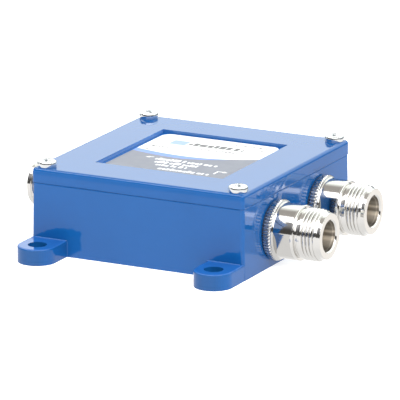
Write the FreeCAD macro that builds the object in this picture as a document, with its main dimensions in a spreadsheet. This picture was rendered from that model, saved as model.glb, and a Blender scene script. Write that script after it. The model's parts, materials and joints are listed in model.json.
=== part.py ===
import FreeCAD, Part
import os
import Sketcher

# Radio-frequency power tapper: a flat cast box with four mounting ears, a screwed
# lid with a sunk label field, and three threaded coaxial sockets, one on the -X
# side and two on the +X side.  Millimetres, +Z up, origin at the centre of the
# footprint on the mounting plane, sockets along X, ears along Y.

doc = FreeCAD.newDocument("PowerTapper")

# ---------------------------------------------------------------- dimensions
DIMS = [
    # housing
    ("house_x", 71.4), ("house_y", 73.1), ("house_h", 21.95), ("draft_run", 0.3),
    ("corner_rad", 1.1), ("floor_h", 3.0), ("cav_x", 64.6), ("cav_y", 66.2),
    ("post_x", 54.0), ("post_y", 54.0), ("cav_rad", 1.5), ("edge_soft", 0.3),
    # ears
    ("ear_cx", 29.85), ("ear_cy", 44.4), ("ear_rad", 6.05), ("ear_h", 5.05),
    ("ear_root_y", 30.0), ("ear_hole_rad", 2.9), ("ear_soft", 0.55),
    # lid
    ("lid_x", 71.7), ("lid_y", 73.35), ("lid_h", 4.59), ("lid_soft", 1.0),
    ("rec_x", 43.3), ("rec_y", 44.7), ("rec_d", 1.1),
    ("lip_gap", 0.25), ("lip_w", 2.0), ("lip_h", 1.4),
    # lid gasket, lying in a groove of the housing's rim
    ("gask_in", 0.7), ("gask_out", 1.9), ("gask_h", 1.0),
    # label
    ("label_x", 40.2), ("label_y", 42.6), ("label_t", 0.15), ("label_rad", 3.0),
    # lid screws
    ("scr_x", 32.35), ("scr_y", 33.2), ("scr_head_rad", 3.05), ("scr_side_h", 1.4),
    ("scr_head_h", 1.95), ("scr_rad", 1.48), ("scr_hole_rad", 1.5),
    ("scr_clear_rad", 1.75), ("scr_len", 13.0), ("cross_w", 1.0), ("cross_l", 3.5),
    ("cross_d", 1.15),
    # sockets: positions and outer form, measured from the seat plane
    ("seat_x", 35.7), ("sock_z", 11.0), ("sock_y", 15.6), ("seat_rad", 8.95),
    ("wall_in", 3.4), ("spig_rad", 6.5),
    ("ring_t", 0.4), ("ring_rad", 8.75),
    ("knurl_s", 2.7), ("knurl_rad", 9.33), ("tooth_d", 0.42), ("tooth_n", 56),
    ("collar_s", 3.3), ("collar_rad", 8.8),
    ("barrel_s", 10.05), ("barrel_rad", 8.45), ("flat_half", 7.5),
    ("flat_s0", 3.3), ("flat_s1", 9.2),
    ("groove_s", 11.7), ("groove_rad", 7.3),
    ("thread_s", 16.05), ("thread_rad", 7.94), ("nose_rad", 7.08),
    ("sock_s", 18.45), ("nose_soft", 0.15),
    ("mouth_rad", 5.15), ("mouth_d", 0.65), ("bore_rad", 4.35), ("bore_d", 9.2),
    ("ins_rad", 4.0),
    # centre contacts
    ("pin_rad", 1.5), ("tip_d", 4.2), ("shank_rad", 0.9), ("tail_rad", 0.6),
    ("tail_len", 4.0), ("pin_hole_rad", 0.83), ("pin_hole_d", 4.6),
    ("slot_w", 0.3), ("slot_d", 3.6),
    # circuit board
    ("board_x", 60.0), ("board_y", 52.4), ("board_t", 1.6), ("board_top", 10.3),
    ("foil_t", 0.05), ("boss_x", 24.0), ("boss_y", 22.0), ("boss_rad", 3.4),
    ("bscr_rad", 1.23), ("bscr_hole_rad", 1.25), ("bscr_clear_rad", 1.5),
    ("bscr_head_rad", 2.4), ("bscr_head_h", 1.6), ("bscr_len", 5.6),
    ("track_w", 2.9), ("line_bend", 10.0), ("tap_start", 2.3),
    ("chip_l", 3.2), ("chip_w", 1.6), ("chip_t", 0.6),
    ("sold_l", 2.8), ("sold_w", 2.6), ("sold_h", 0.9),
]
sheet = doc.addObject("Spreadsheet::Sheet", "Dims")
for i, (alias, value) in enumerate(DIMS, start=1):
    sheet.set("A%d" % i, alias)
    sheet.set("B%d" % i, str(value))
    sheet.setAlias("B%d" % i, alias)
doc.recompute()


class Q:
    """A size that carries its number and the expression that drives it."""

    def __init__(self, n, e):
        self.n, self.e = float(n), e

    @staticmethod
    def of(v):
        return v if isinstance(v, Q) else Q(v, "%.10g" % v if v >= 0 else "(%.10g)" % v)

    def __add__(self, o):
        o = Q.of(o)
        return Q(self.n + o.n, "(%s + %s)" % (self.e, o.e))

    def __radd__(self, o):
        return Q.of(o) + self

    def __sub__(self, o):
        o = Q.of(o)
        return Q(self.n - o.n, "(%s - %s)" % (self.e, o.e))

    def __rsub__(self, o):
        return Q.of(o) - self

    def __mul__(self, o):
        o = Q.of(o)
        return Q(self.n * o.n, "(%s * %s)" % (self.e, o.e))

    def __rmul__(self, o):
        return Q.of(o) * self

    def __truediv__(self, o):
        o = Q.of(o)
        return Q(self.n / o.n, "(%s / %s)" % (self.e, o.e))

    def __neg__(self):
        return Q(-self.n, "(0 - %s)" % self.e)


class _D:
    pass


D = _D()
for alias, value in DIMS:
    setattr(D, alias, Q(value, "Dims." + alias))


def bind(obj, prop, q):
    q = Q.of(q)
    setattr(obj, prop, q.n)
    obj.setExpression(prop, q.e)


def body(label):
    b = doc.addObject("PartDesign::Body", label)
    b.Label = label
    return b


def plane(b, role):
    return [f for f in b.Origin.OriginFeatures if f.Role == role][0]


def sketch(b, role, offset=None, turn=0.0, name="Sketch"):
    sk = b.newObject("Sketcher::SketchObject", b.Name + "_" + name)
    sk.AttachmentSupport = [(plane(b, role), "")]
    sk.MapMode = "FlatFace"
    off = Q.of(offset if offset is not None else 0.0)
    sk.AttachmentOffset = FreeCAD.Placement(
        FreeCAD.Vector(0, 0, off.n), FreeCAD.Rotation(FreeCAD.Vector(0, 0, 1), turn))
    if offset is not None:
        sk.setExpression("AttachmentOffset.Base.z", off.e)
    return sk


def at(sk, geo, pos, x, y):
    """Place one point of a sketch at (x, y), driven by the sheet."""
    x, y = Q.of(x), Q.of(y)
    for q, kind, axis in ((x, "DistanceX", -2), (y, "DistanceY", -1)):
        if abs(q.n) < 1e-9:
            sk.addConstraint(Sketcher.Constraint("PointOnObject", geo, pos, axis))
        elif q.n > 0:
            c = sk.addConstraint(Sketcher.Constraint(kind, -1, 1, geo, pos, q.n))
            sk.setExpression("Constraints[%d]" % c, q.e)
        else:
            c = sk.addConstraint(Sketcher.Constraint(kind, geo, pos, -1, 1, -q.n))
            sk.setExpression("Constraints[%d]" % c, "0 - " + q.e)


def poly(sk, pts):
    """Closed outline through sheet-driven points."""
    pts = [(Q.of(x), Q.of(y)) for x, y in pts]
    n = len(pts)
    vs = [FreeCAD.Vector(x.n, y.n, 0) for x, y in pts]
    ids = [sk.addGeometry(Part.LineSegment(vs[i], vs[(i + 1) % n]), False) for i in range(n)]
    for i in range(n):
        sk.addConstraint(Sketcher.Constraint("Coincident", ids[i], 2, ids[(i + 1) % n], 1))
    for i in range(n):
        at(sk, ids[i], 1, *pts[i])
    return ids


def rect(sk, x0, y0, x1, y1):
    return poly(sk, [(x0, y0), (x1, y0), (x1, y1), (x0, y1)])


def circle(sk, x, y, r):
    x, y, r = Q.of(x), Q.of(y), Q.of(r)
    g = sk.addGeometry(Part.Circle(FreeCAD.Vector(x.n, y.n, 0), FreeCAD.Vector(0, 0, 1), r.n), False)
    c = sk.addConstraint(Sketcher.Constraint("Radius", g, r.n))
    sk.setExpression("Constraints[%d]" % c, r.e)
    at(sk, g, 3, x, y)
    return g


def pad(b, sk, length, name="Pad", reverse=False, taper=None):
    p = b.newObject("PartDesign::Pad", b.Name + "_" + name)
    p.Profile = sk
    bind(p, "Length", length)
    p.Reversed = reverse
    if taper is not None:
        p.TaperAngle = taper.n
        p.setExpression("TaperAngle", taper.e)
    sk.Visibility = False
    doc.recompute()
    return p


def pocket(b, sk, length, name="Pocket", reverse=False, through=False):
    before = b.Shape.Volume
    p = b.newObject("PartDesign::Pocket", b.Name + "_" + name)
    p.Profile = sk
    if through:
        p.Type = "ThroughAll"
        p.Midplane = True
    else:
        bind(p, "Length", length)
    p.Reversed = reverse
    doc.recompute()
    if not p.Shape.Volume < before - 1e-6:
        raise RuntimeError("pocket cuts nothing: " + p.Name)
    return p


def revolve(b, sk, axis, name="Turned"):
    r = b.newObject("PartDesign::Revolution", b.Name + "_" + name)
    r.Profile = sk
    r.ReferenceAxis = (sk, [axis])
    r.Angle = 360.0
    doc.recompute()
    return r


def groove(b, sk, axis, name="Groove"):
    before = b.Shape.Volume
    r = b.newObject("PartDesign::Groove", b.Name + "_" + name)
    r.Profile = sk
    r.ReferenceAxis = (sk, [axis])
    r.Angle = 360.0
    doc.recompute()
    if not r.Shape.Volume < before - 1e-6:
        raise RuntimeError("groove cuts nothing: " + r.Name)
    return r


def edges(feature, test):
    out = []
    for i, e in enumerate(feature.Shape.Edges, start=1):
        if test(e):
            out.append("Edge%d" % i)
    return out


def dress(b, kind, feature, names, size, name):
    if not names:
        raise RuntimeError("no edges for " + name)
    f = b.newObject("PartDesign::" + kind, b.Name + "_" + name)
    f.Base = (feature, names)
    bind(f, "Radius" if kind == "Fillet" else "Size", size)
    doc.recompute()
    return f


def polar(b, feature, sk, axis, count, name="Pattern"):
    p = b.newObject("PartDesign::PolarPattern", b.Name + "_" + name)
    p.Originals = [feature]
    p.Axis = (sk, [axis])
    p.Angle = 360.0
    p.Occurrences = int(count.n)
    p.setExpression("Occurrences", count.e)
    b.Tip = p
    doc.recompute()
    return p


def vertical(e):
    return (len(e.Vertexes) == 2 and abs(e.Vertexes[0].Point.x - e.Vertexes[1].Point.x) < 0.6
            and abs(e.Vertexes[0].Point.y - e.Vertexes[1].Point.y) < 0.6
            and abs(e.Vertexes[0].Point.z - e.Vertexes[1].Point.z) > 0.5)


def level(e, z, tol=1e-4):
    bb = e.BoundBox
    return abs(bb.ZMin - z) < tol and abs(bb.ZMax - z) < tol


def stepped(px, py, nx, ny):
    """Twelve-sided outline: a rectangle with a square notch at each corner."""
    return [(px, -ny), (px, ny), (nx, ny), (nx, py), (-nx, py), (-nx, ny),
            (-px, ny), (-px, -ny), (-nx, -ny), (-nx, -py), (nx, -py), (nx, -ny)]


# ---------------------------------------------------------------- housing
# One casting: four walls with a slight draft, floor, corner posts for the lid
# screws, four bosses for the board, and four ears flush with the +-X walls.
hx, hy = D.house_x / 2, D.house_y / 2
h = body("housing")
sk = sketch(h, "XY_Plane", name="Outline")
rect(sk, -(hx + D.draft_run), -(hy + D.draft_run), hx + D.draft_run, hy + D.draft_run)
taper = Q(-0.783, "-1 * atan(Dims.draft_run / Dims.house_h)")
p = pad(h, sk, D.house_h, "Block", taper=taper)
top_w = p.Shape.BoundBox
faces_top = [f for f in p.Shape.Faces if abs(f.BoundBox.ZMin - D.house_h.n) < 1e-3]
if abs(faces_top[0].BoundBox.XLength - D.house_x.n) > 0.02:
    raise RuntimeError("housing draft runs the wrong way: %.3f" % faces_top[0].BoundBox.XLength)
f = dress(h, "Fillet", p, edges(p, vertical), D.corner_rad, "Corners")

# ears: a slot-shaped tongue under each end wall's corner
for sx, sy, tag in ((1, 1, "A"), (-1, 1, "B"), (-1, -1, "C"), (1, -1, "D")):
    sk = sketch(h, "XY_Plane", name="Ear" + tag)
    cx, cy, r, y0 = sx * D.ear_cx, sy * D.ear_cy, D.ear_rad, sy * D.ear_root_y
    a = FreeCAD.Vector(cx.n - r.n, y0.n, 0)
    c = FreeCAD.Vector(cx.n + r.n, y0.n, 0)
    a1 = FreeCAD.Vector(cx.n - r.n, cy.n, 0)
    c1 = FreeCAD.Vector(cx.n + r.n, cy.n, 0)
    tip = FreeCAD.Vector(cx.n, cy.n + sy * r.n, 0)
    g0 = sk.addGeometry(Part.LineSegment(a, c), False)
    g1 = sk.addGeometry(Part.LineSegment(c, c1), False)
    g2 = sk.addGeometry(Part.Arc(c1, tip, a1) if sy > 0 else Part.Arc(a1, tip, c1), False)
    g3 = sk.addGeometry(Part.LineSegment(a1, a), False)
    s_is_c1 = sy > 0
    sk.addConstraint(Sketcher.Constraint("Coincident", g0, 2, g1, 1))
    sk.addConstraint(Sketcher.Constraint("Coincident", g1, 2, g2, 1 if s_is_c1 else 2))
    sk.addConstraint(Sketcher.Constraint("Coincident", g2, 2 if s_is_c1 else 1, g3, 1))
    sk.addConstraint(Sketcher.Constraint("Coincident", g3, 2, g0, 1))
    at(sk, g0, 1, cx - r, y0)
    at(sk, g0, 2, cx + r, y0)
    at(sk, g2, 1 if s_is_c1 else 2, cx + r, cy)
    at(sk, g2, 2 if s_is_c1 else 1, cx - r, cy)
    y_off = Q.of(cy)
    if sy > 0:
        cc = sk.addConstraint(Sketcher.Constraint("DistanceY", -1, 1, g2, 3, y_off.n))
        sk.setExpression("Constraints[%d]" % cc, y_off.e)
    else:
        cc = sk.addConstraint(Sketcher.Constraint("DistanceY", g2, 3, -1, 1, -y_off.n))
        sk.setExpression("Constraints[%d]" % cc, "0 - " + y_off.e)
    p = pad(h, sk, D.ear_h, "EarPad" + tag)


def ear_rim(e):
    bb = e.BoundBox
    outside = min(abs(bb.YMin), abs(bb.YMax)) > D.house_y.n / 2 - 0.1
    return level(e, D.ear_h.n, 1e-3) and outside and bb.YLength > 1.0


f = dress(h, "Fillet", p, edges(p, ear_rim), D.ear_soft, "EarRim")
sk = sketch(h, "XY_Plane", name="EarHoles")
for sx in (1, -1):
    for sy in (1, -1):
        circle(sk, sx * D.ear_cx, sy * D.ear_cy, D.ear_hole_rad)
p = pocket(h, sk, 2 * D.ear_h, "EarHolesCut", reverse=True)

# cavity, leaving a post in each corner
sk = sketch(h, "XY_Plane", offset=D.floor_h, name="Cavity")
poly(sk, stepped(D.cav_x / 2, D.cav_y / 2, D.post_x / 2, D.post_y / 2))
p = pocket(h, sk, D.house_h, "CavityCut", reverse=True)


def cav_edge(e):
    if not vertical(e):
        return False
    v = e.Vertexes[0].Point
    return (abs(v.x) < D.cav_x.n / 2 + 0.01 and abs(v.y) < D.cav_y.n / 2 + 0.01
            and min(e.Vertexes[0].Point.z, e.Vertexes[1].Point.z) < D.floor_h.n + 0.01)


p = dress(h, "Fillet", p, edges(p, cav_edge), D.cav_rad, "CavityCorners")

# board bosses
sk = sketch(h, "XY_Plane", offset=D.floor_h - 0.5, name="Bosses")
for sx in (1, -1):
    for sy in (1, -1):
        circle(sk, sx * D.boss_x, sy * D.boss_y, D.boss_rad)
boss_top = D.board_top - D.board_t - D.foil_t
p = pad(h, sk, boss_top - D.floor_h + 0.5, "BossPad")
sk = sketch(h, "XY_Plane", offset=boss_top, name="BossHoles")
for sx in (1, -1):
    for sy in (1, -1):
        circle(sk, sx * D.boss_x, sy * D.boss_y, D.bscr_hole_rad)
p = pocket(h, sk, boss_top - 3.6, "BossHolesCut")

# tapped holes for the lid screws
sk = sketch(h, "XY_Plane", offset=D.house_h, name="PostHoles")
for sx in (1, -1):
    for sy in (1, -1):
        circle(sk, sx * D.scr_x, sy * D.scr_y, D.scr_hole_rad)
p = pocket(h, sk, D.scr_len - D.lid_h + 1.0, "PostHolesCut")

# gasket groove in the rim
sk = sketch(h, "XY_Plane", offset=D.house_h, name="GasketGroove")
for g in (D.gask_in, D.gask_out):
    poly(sk, stepped(D.cav_x / 2 + g, D.cav_y / 2 + g, D.post_x / 2 + g, D.post_y / 2 + g))
p = pocket(h, sk, D.gask_h, "GasketGrooveCut")

# seats and holes for the sockets
for sgn, ys, tag in ((1, (-1, 1), "R"), (-1, (0,), "L")):
    sk = sketch(h, "YZ_Plane", offset=sgn * D.seat_x, name="Seats" + tag)
    for k in ys:
        circle(sk, k * D.sock_y, D.sock_z, D.seat_rad)
    pocket(h, sk, Q.of(2.0), "SeatsCut" + tag, reverse=(sgn > 0))
    sk = sketch(h, "YZ_Plane", offset=sgn * (D.seat_x + 1.0), name="Ports" + tag)
    for k in ys:
        circle(sk, k * D.sock_y, D.sock_z, D.spig_rad)
    p = pocket(h, sk, D.wall_in + 3.0, "PortsCut" + tag, reverse=(sgn < 0))


def rim_edge(e):
    bb = e.BoundBox
    far = (abs(bb.XMin) > hx.n - 1.6 or abs(bb.XMax) > hx.n - 1.6 or abs(bb.YMin) > hy.n - 1.6 or abs(bb.YMax) > hy.n - 1.6)
    inner = (bb.XMax < D.cav_x.n / 2 + D.gask_out.n + 0.02 and bb.XMin > -D.cav_x.n / 2 - D.gask_out.n - 0.02
             and bb.YMax < D.cav_y.n / 2 + D.gask_out.n + 0.02 and bb.YMin > -D.cav_y.n / 2 - D.gask_out.n - 0.02)
    return level(e, D.house_h.n, 1e-3) and far and not inner


p = dress(h, "Fillet", p, edges(p, rim_edge), D.edge_soft, "RimSoft")

# ---------------------------------------------------------------- lid
lid = body("lid")
lid.Placement = FreeCAD.Placement(FreeCAD.Vector(0, 0, D.house_h.n), FreeCAD.Rotation())
lid.setExpression("Placement.Base.z", D.house_h.e)
sk = sketch(lid, "XY_Plane", name="Outline")
rect(sk, -D.lid_x / 2, -D.lid_y / 2, D.lid_x / 2, D.lid_y / 2)
p = pad(lid, sk, D.lid_h, "Plate")
f = dress(lid, "Fillet", p, edges(p, vertical), D.corner_rad, "Corners")
f = dress(lid, "Fillet", f, edges(f, lambda e: level(e, D.lid_h.n)), D.lid_soft, "TopEdge")
f = dress(lid, "Fillet", f, edges(f, lambda e: level(e, 0.0)), D.edge_soft, "LowEdge")
sk = sketch(lid, "XY_Plane", offset=D.lid_h, name="Recess")
rect(sk, -D.rec_x / 2, -D.rec_y / 2, D.rec_x / 2, D.rec_y / 2)
p = pocket(lid, sk, D.rec_d, "RecessCut")
sk = sketch(lid, "XY_Plane", name="Lip")
for g in (D.lip_gap, D.lip_gap + D.lip_w):
    poly(sk, stepped(D.cav_x / 2 - g, D.cav_y / 2 - g, D.post_x / 2 - g, D.post_y / 2 - g))
p = pad(lid, sk, D.lip_h, "LipPad", reverse=True)


def lip_edge(e):
    v = e.Vertexes[0].Point
    return vertical(e) and min(q.Point.z for q in e.Vertexes) < -0.5 and (
        abs(v.x) > D.cav_x.n / 2 - 0.3 or abs(v.y) > D.cav_y.n / 2 - 0.3)


p = dress(lid, "Fillet", p, edges(p, lip_edge), D.cav_rad, "LipCorners")
sk = sketch(lid, "XY_Plane", offset=D.lid_h, name="Holes")
for sx in (1, -1):
    for sy in (1, -1):
        circle(sk, sx * D.scr_x, sy * D.scr_y, D.scr_clear_rad)
pocket(lid, sk, D.lid_h + 1.0, "HolesCut")

# ---------------------------------------------------------------- lid gasket
gk = body("lid_gasket")
gk.Placement = FreeCAD.Placement(FreeCAD.Vector(0, 0, D.house_h.n - D.gask_h.n), FreeCAD.Rotation())
gk.setExpression("Placement.Base.z", (D.house_h - D.gask_h).e)
sk = sketch(gk, "XY_Plane", name="Loop")
for g in (D.gask_in, D.gask_out):
    poly(sk, stepped(D.cav_x / 2 + g, D.cav_y / 2 + g, D.post_x / 2 + g, D.post_y / 2 + g))
pad(gk, sk, D.gask_h, "LoopPad")

# ---------------------------------------------------------------- label
lb = body("label")
label_z = D.house_h + D.lid_h - D.rec_d
lb.Placement = FreeCAD.Placement(FreeCAD.Vector(0, 0, label_z.n), FreeCAD.Rotation())
lb.setExpression("Placement.Base.z", label_z.e)
sk = sketch(lb, "XY_Plane", name="Sheet")
rect(sk, -D.label_x / 2, -D.label_y / 2, D.label_x / 2, D.label_y / 2)
p = pad(lb, sk, D.label_t, "SheetPad")
dress(lb, "Fillet", p, edges(p, lambda e: len(e.Vertexes) == 2 and abs(e.Vertexes[0].Point.z - e.Vertexes[1].Point.z) > 0.1),
      D.label_rad, "SheetCorners")


# ---------------------------------------------------------------- screws
def pan_screw(label, cx, cy, z, head_rad, side_h, head_h, rad, length, cw, cl, cd):
    """Pan-head machine screw with a cross recess, on its own axis."""
    b = body(label)
    b.Placement = FreeCAD.Placement(FreeCAD.Vector(cx.n, cy.n, z.n), FreeCAD.Rotation())
    b.setExpression("Placement.Base.x", cx.e)
    b.setExpression("Placement.Base.y", cy.e)
    b.setExpression("Placement.Base.z", z.e)
    sk = sketch(b, "XZ_Plane", name="Profile")
    poly(sk, [(0, -length), (rad - 0.3, -length), (rad, -(length - 0.3)), (rad, 0),
              (head_rad - 0.12, 0), (head_rad, 0.15), (head_rad, side_h - 0.2),
              (head_rad - 0.22, side_h + 0.05), (head_rad * 0.72, head_h - 0.16),
              (head_rad * 0.38, head_h - 0.03), (0, head_h)])
    revolve(b, sk, "V_Axis")
    sk = sketch(b, "XY_Plane", offset=head_h + 0.2, name="Cross")
    poly(sk, [(cl / 2, -cw / 2), (cl / 2, cw / 2), (cw / 2, cw / 2), (cw / 2, cl / 2),
              (-cw / 2, cl / 2), (-cw / 2, cw / 2), (-cl / 2, cw / 2), (-cl / 2, -cw / 2),
              (-cw / 2, -cw / 2), (-cw / 2, -cl / 2), (cw / 2, -cl / 2), (cw / 2, -cw / 2)])
    pocket(b, sk, cd + 0.2, "CrossCut")
    return b


def group(label, members):
    """One node that holds identical pieces as separate solids."""
    g = doc.addObject("Part::Compound", label)
    g.Label = label
    g.Links = members
    doc.recompute()
    return g


lid_top = D.house_h + D.lid_h
lid_screws = []
for k, (sx, sy) in enumerate(((1, 1), (-1, 1), (-1, -1), (1, -1))):
    lid_screws.append(pan_screw("lid_screw_%d" % (k + 1), sx * D.scr_x, sy * D.scr_y, lid_top,
                                D.scr_head_rad, D.scr_side_h, D.scr_head_h, D.scr_rad, D.scr_len,
                                D.cross_w, D.cross_l, D.cross_d))
g_lid_screws = group("lid_screws", lid_screws)

# ---------------------------------------------------------------- circuit board
bd = body("circuit_board")
bz = D.board_top - D.board_t
bd.Placement = FreeCAD.Placement(FreeCAD.Vector(0, 0, bz.n), FreeCAD.Rotation())
bd.setExpression("Placement.Base.z", bz.e)
sk = sketch(bd, "XY_Plane", name="Outline")
rect(sk, -D.board_x / 2, -D.board_y / 2, D.board_x / 2, D.board_y / 2)
for sx in (1, -1):
    for sy in (1, -1):
        circle(sk, sx * D.boss_x, sy * D.boss_y, D.bscr_clear_rad)
pad(bd, sk, D.board_t, "Laminate")

gp = body("ground_plane")
gz = bz - D.foil_t
gp.Placement = FreeCAD.Placement(FreeCAD.Vector(0, 0, gz.n), FreeCAD.Rotation())
gp.setExpression("Placement.Base.z", gz.e)
sk = sketch(gp, "XY_Plane", name="Outline")
rect(sk, -(D.board_x / 2 - 0.3), -(D.board_y / 2 - 0.3), D.board_x / 2 - 0.3, D.board_y / 2 - 0.3)
for sx in (1, -1):
    for sy in (1, -1):
        circle(sk, sx * D.boss_x, sy * D.boss_y, D.bscr_clear_rad)
pad(gp, sk, D.foil_t, "Foil")


# strip lines: outline of a bent strip of even width, bends of 45 degrees
def strip(path, w):
    """Left and right outlines of a strip whose runs are level or at 45 degrees."""
    k = 0.41421356
    left, right = [], []
    hw = w / 2
    n = len(path)
    for i, (x, y) in enumerate(path):
        if i == 0 or i == n - 1:
            j = 0 if i == 0 else i - 1
            dx, dy = path[j + 1][0].n - path[j][0].n, path[j + 1][1].n - path[j][1].n
            ln = (dx * dx + dy * dy) ** 0.5
            nx, ny = -dy / ln, dx / ln
            left.append((x + hw * nx, y + hw * ny))
            right.append((x - hw * nx, y - hw * ny))
        else:
            ax, ay = path[i][0].n - path[i - 1][0].n, path[i][1].n - path[i - 1][1].n
            bx, by = path[i + 1][0].n - path[i][0].n, path[i + 1][1].n - path[i][1].n
            la, lb2 = (ax * ax + ay * ay) ** 0.5, (bx * bx + by * by) ** 0.5
            n1 = (-ay / la, ax / la)
            n2 = (-by / lb2, bx / lb2)
            mx, my = n1[0] + n2[0], n1[1] + n2[1]
            s = 1.0 / (1.0 + n1[0] * n2[0] + n1[1] * n2[1])
            left.append((x + hw * (mx * s), y + hw * (my * s)))
            right.append((x - hw * (mx * s), y - hw * (my * s)))
    return left + right[::-1]


def foil(label, path, extra=None):
    b = body(label)
    b.Placement = FreeCAD.Placement(FreeCAD.Vector(0, 0, D.board_top.n), FreeCAD.Rotation())
    b.setExpression("Placement.Base.z", D.board_top.e)
    sk = sketch(b, "XY_Plane", name="Strip")
    poly(sk, strip(path, D.track_w))
    pad(b, sk, D.foil_t, "StripPad")
    return b


bx, zero = D.board_x / 2 - 0.6, Q.of(0.0)
foil("main_line", [(-bx, zero), (-D.line_bend, zero), (D.sock_y - D.line_bend, D.sock_y), (bx, D.sock_y)])
ts = D.tap_start
foil("tap_line", [(-D.line_bend + ts, -ts), (D.sock_y - D.line_bend, -D.sock_y), (bx, -D.sock_y)])


# chip resistors: the ceramic body of each bridges its two pads at 45 degrees or square
def chip(label, cx, cy, angle, z):
    b = body(label)
    b.Placement = FreeCAD.Placement(FreeCAD.Vector(cx.n, cy.n, z.n),
                                    FreeCAD.Rotation(FreeCAD.Vector(0, 0, 1), angle))
    b.setExpression("Placement.Base.x", cx.e)
    b.setExpression("Placement.Base.y", cy.e)
    b.setExpression("Placement.Base.z", z.e)
    sk = sketch(b, "XY_Plane", name="Outline")
    rect(sk, -D.chip_l / 2, -D.chip_w / 2, D.chip_l / 2, D.chip_w / 2)
    p = pad(b, sk, D.chip_t, "Block")
    dress(b, "Chamfer", p, edges(p, vertical), Q.of(0.1), "Ends")
    return b


foil_top = D.board_top + D.foil_t
gapc = (ts + D.track_w / 2 * 0.70710678) / 2
chip("tap_resistor", gapc - D.line_bend, -gapc, -45.0, foil_top)
# the second resistor runs from the tap strip to a ground pad in front of it
pad_y = D.sock_y + D.track_w / 2 + 2.6
gpad = body("ground_pad")
gpad.Placement = FreeCAD.Placement(FreeCAD.Vector(12.0, -pad_y.n, D.board_top.n), FreeCAD.Rotation())
gpad.setExpression("Placement.Base.y", (-pad_y).e)
gpad.setExpression("Placement.Base.z", D.board_top.e)
sk = sketch(gpad, "XY_Plane", name="Pad")
rect(sk, Q.of(-2.0), Q.of(-1.2), Q.of(2.0), Q.of(1.2))
pad(gpad, sk, D.foil_t, "PadPad")
chip("balance_resistor", Q.of(12.0), -(D.sock_y + D.track_w / 2 + 0.7), 90.0, foil_top)

# board screws
board_screws = []
for k, (sx, sy) in enumerate(((1, 1), (-1, 1), (-1, -1), (1, -1))):
    board_screws.append(pan_screw("board_screw_%d" % (k + 1), sx * D.boss_x, sy * D.boss_y, D.board_top,
                                  D.bscr_head_rad, D.bscr_head_h * 0.72, D.bscr_head_h, D.bscr_rad, D.bscr_len,
                                  D.cross_w * 0.7, D.cross_l * 0.75, D.cross_d * 0.7))
g_board_screws = group("board_screws", board_screws)


# ---------------------------------------------------------------- sockets
def place(b, sgn, ky):
    """Local +X runs outwards from the seat plane on the socket's axis."""
    q = (sgn * D.seat_x, ky * D.sock_y, D.sock_z)
    rot = FreeCAD.Rotation(FreeCAD.Vector(0, 0, 1), 0 if sgn > 0 else 180)
    b.Placement = FreeCAD.Placement(FreeCAD.Vector(q[0].n, q[1].n, q[2].n), rot)
    for n, v in zip("xyz", q):
        b.setExpression("Placement.Base." + n, v.e)


def shell(label, sgn, ky, flat_turn):
    b = body(label)
    place(b, sgn, ky)
    soft = D.nose_soft
    k = 0.292893219
    sk = sketch(b, "XY_Plane", name="Profile")
    poly(sk, [
        (-D.wall_in, D.ins_rad), (-D.wall_in, D.spig_rad - 0.3), (-(D.wall_in - 0.3), D.spig_rad),
        (D.ring_t, D.spig_rad), (D.ring_t, D.knurl_rad - 0.3), (D.ring_t + 0.25, D.knurl_rad),
        (D.knurl_s - 0.12, D.knurl_rad), (D.knurl_s, D.knurl_rad - 0.12),
        (D.knurl_s, D.collar_rad), (D.collar_s - 0.15, D.collar_rad), (D.collar_s, D.collar_rad - 0.15),
        (D.collar_s, D.barrel_rad), (D.barrel_s - 0.25, D.barrel_rad), (D.barrel_s, D.barrel_rad - 0.25),
        (D.barrel_s, D.groove_rad), (D.groove_s - 0.5, D.groove_rad), (D.groove_s, D.thread_rad),
        (D.thread_s, D.thread_rad), (D.thread_s + 1.15, D.nose_rad),
        (D.sock_s - soft, D.nose_rad), (D.sock_s - soft * 0.6173, D.nose_rad - soft * 0.0761),
        (D.sock_s - soft * k, D.nose_rad - soft * k), (D.sock_s - soft * 0.0761, D.nose_rad - soft * 0.6173),
        (D.sock_s, D.nose_rad - soft),
        (D.sock_s, D.mouth_rad), (D.sock_s - D.mouth_d, D.bore_rad), (D.sock_s - D.bore_d, D.bore_rad),
        (D.sock_s - D.bore_d, D.ins_rad)])
    revolve(b, sk, "H_Axis")
    # wrench flats, one pair
    sk = sketch(b, "YZ_Plane", offset=D.flat_s0, turn=flat_turn, name="Flats")
    rect(sk, -9.5, D.flat_half, 9.5, 11.0)
    rect(sk, -9.5, -11.0, 9.5, -D.flat_half)
    pocket(b, sk, D.flat_s1 - D.flat_s0, "FlatsCut", reverse=True)
    # straight knurl: one tooth space, then the ring of them
    sk = sketch(b, "YZ_Plane", offset=D.ring_t - 0.2, name="Tooth")
    half = D.knurl_rad * 0.044
    poly(sk, [(0, D.knurl_rad - D.tooth_d), (half, D.knurl_rad + 0.12), (-half, D.knurl_rad + 0.12)])
    t = pocket(b, sk, D.knurl_s - D.ring_t + 0.4, "ToothCut", reverse=True)
    sk2 = sketch(b, "XY_Plane", name="PatternAxis")
    g = sk2.addGeometry(Part.LineSegment(FreeCAD.Vector(0, 0, 0), FreeCAD.Vector(1, 0, 0)), True)
    polar(b, t, sk2, "H_Axis", D.tooth_n, "Knurl")
    return b


def insulator(label, sgn, ky):
    b = body(label)
    place(b, sgn, ky)
    sk = sketch(b, "XY_Plane", name="Profile")
    s1 = D.sock_s - D.bore_d
    poly(sk, [(-D.wall_in, D.shank_rad), (-D.wall_in, D.ins_rad - 0.1), (-(D.wall_in - 0.1), D.ins_rad),
              (s1, D.ins_rad), (s1, D.pin_rad), (s1 - 1.0, D.pin_rad), (s1 - 1.0, D.shank_rad)])
    revolve(b, sk, "H_Axis")
    return b


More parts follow.
